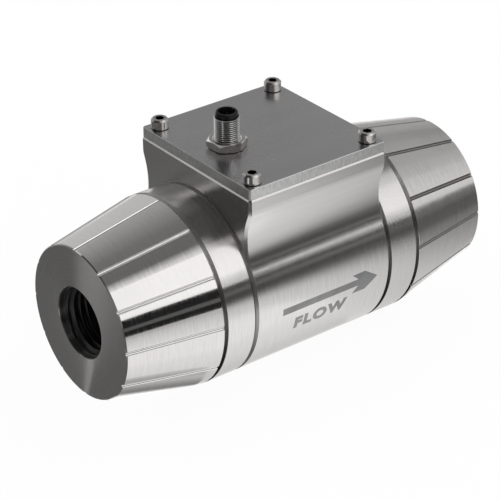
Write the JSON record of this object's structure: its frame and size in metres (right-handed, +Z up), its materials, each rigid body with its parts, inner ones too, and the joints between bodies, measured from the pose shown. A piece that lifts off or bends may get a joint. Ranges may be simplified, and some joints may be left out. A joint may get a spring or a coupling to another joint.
{
  "type": "helical gear flow meter",
  "caption": "In-line helical gear flow meter: a turned stainless housing with coned port caps, meshed screw rotors and a flat sensor head with a round cable connector.",
  "frame": {"origin": "centre of the inlet port's mouth, on the flow axis", "axes": "+X with the flow, from inlet to outlet; +Z up, from the flow axis to the sensor head; +Y to the back"},
  "size_m": [0.212, 0.094, 0.1281],
  "materials": {
    "housing_steel": "turned and milled stainless steel",
    "cap_steel": "stainless steel with fine turning rings",
    "plate_steel": "stainless plate, satin on top, sawn at the edges",
    "screw_steel": "bright stainless screws",
    "connector_steel": "turned stainless steel",
    "nut_steel": "turned stainless steel",
    "insert_plastic": "black moulded insert",
    "contact_metal": "gilt contacts",
    "seal_rubber": "black seal rubber",
    "board_laminate": "green circuit board",
    "standoff_brass": "plain brass",
    "chip_plastic": "black chip packages",
    "capacitor_can": "plain cans",
    "pickup_steel": "turned stainless steel",
    "cartridge_steel": "ground stainless steel",
    "rotor_steel": "ground steel",
    "wheel_steel": "milled magnetic steel",
    "bearing_steel": "polished bearing steel",
    "cage_brass": "plain brass",
    "clip_steel": "dark phosphated spring steel"
  },
  "bodies": {
    "meter": {"board_screws": "screw_steel", "board_standoffs": "standoff_brass", "capacitors": "capacitor_can", "cartridge_screws": "screw_steel", "circuit_board": "board_laminate", "connector_insert": "insert_plastic", "connector_nut": "nut_steel", "connector_pins": "contact_metal", "connector_seal": "seal_rubber", "connector_shell": "connector_steel", "cover_gasket": "seal_rubber", "cover_plate": "plate_steel", "cover_screws": "screw_steel", "dowel_pins": "rotor_steel", "driver_chips": "chip_plastic", "front_pickup": "pickup_steel", "housing": "housing_steel", "inlet_bearing_plate": "cartridge_steel", "inlet_cap": "cap_steel", "inlet_cap_seal": "seal_rubber", "main_inlet_outer_ring": "bearing_steel", "main_outlet_outer_ring": "bearing_steel", "outlet_bearing_plate": "cartridge_steel", "outlet_cap": "cap_steel", "outlet_cap_seal": "seal_rubber", "pickup_seals": "seal_rubber", "rear_pickup": "pickup_steel", "rotor_block": "cartridge_steel", "side_inlet_outer_ring": "bearing_steel", "side_outlet_outer_ring": "bearing_steel", "signal_chip": "chip_plastic"},
    "main_rotor": {"main_rotor": "rotor_steel", "pole_wheel": "wheel_steel", "main_shaft_clips": "clip_steel", "main_inlet_inner_ring": "bearing_steel", "main_outlet_inner_ring": "bearing_steel"},
    "side_rotor": {"side_rotor": "rotor_steel", "side_shaft_clips": "clip_steel", "side_inlet_inner_ring": "bearing_steel", "side_outlet_inner_ring": "bearing_steel"},
    "main_inlet_ball_set": {"main_inlet_balls": "bearing_steel", "main_inlet_cage": "cage_brass"},
    "main_outlet_ball_set": {"main_outlet_balls": "bearing_steel", "main_outlet_cage": "cage_brass"},
    "side_inlet_ball_set": {"side_inlet_balls": "bearing_steel", "side_inlet_cage": "cage_brass"},
    "side_outlet_ball_set": {"side_outlet_balls": "bearing_steel", "side_outlet_cage": "cage_brass"}
  },
  "joints": [
    {"name": "main_rotor_spin", "type": "hinge", "parent": "meter", "child": "main_rotor", "pos_m": [0.106, 0, 0.014], "axis": [1, 0, 0], "continuous": true},
    {"name": "side_rotor_spin", "type": "hinge", "parent": "meter", "child": "side_rotor", "pos_m": [0.106, 0, -0.014], "axis": [1, 0, 0], "continuous": true},
    {"name": "main_inlet_ball_set_spin", "type": "hinge", "parent": "meter", "child": "main_inlet_ball_set", "pos_m": [0.106, 0, 0.014], "axis": [1, 0, 0], "continuous": true},
    {"name": "main_outlet_ball_set_spin", "type": "hinge", "parent": "meter", "child": "main_outlet_ball_set", "pos_m": [0.106, 0, 0.014], "axis": [1, 0, 0], "continuous": true},
    {"name": "side_inlet_ball_set_spin", "type": "hinge", "parent": "meter", "child": "side_inlet_ball_set", "pos_m": [0.106, 0, -0.014], "axis": [1, 0, 0], "continuous": true},
    {"name": "side_outlet_ball_set_spin", "type": "hinge", "parent": "meter", "child": "side_outlet_ball_set", "pos_m": [0.106, 0, -0.014], "axis": [1, 0, 0], "continuous": true}
  ],
  "couplings": [
    {"joint": "side_rotor_spin", "follows": "main_rotor_spin", "ratio": -1},
    {"joint": "main_inlet_ball_set_spin", "follows": "main_rotor_spin", "ratio": 0.4},
    {"joint": "main_outlet_ball_set_spin", "follows": "main_rotor_spin", "ratio": 0.4},
    {"joint": "side_inlet_ball_set_spin", "follows": "main_rotor_spin", "ratio": -0.4},
    {"joint": "side_outlet_ball_set_spin", "follows": "main_rotor_spin", "ratio": -0.4}
  ]
}
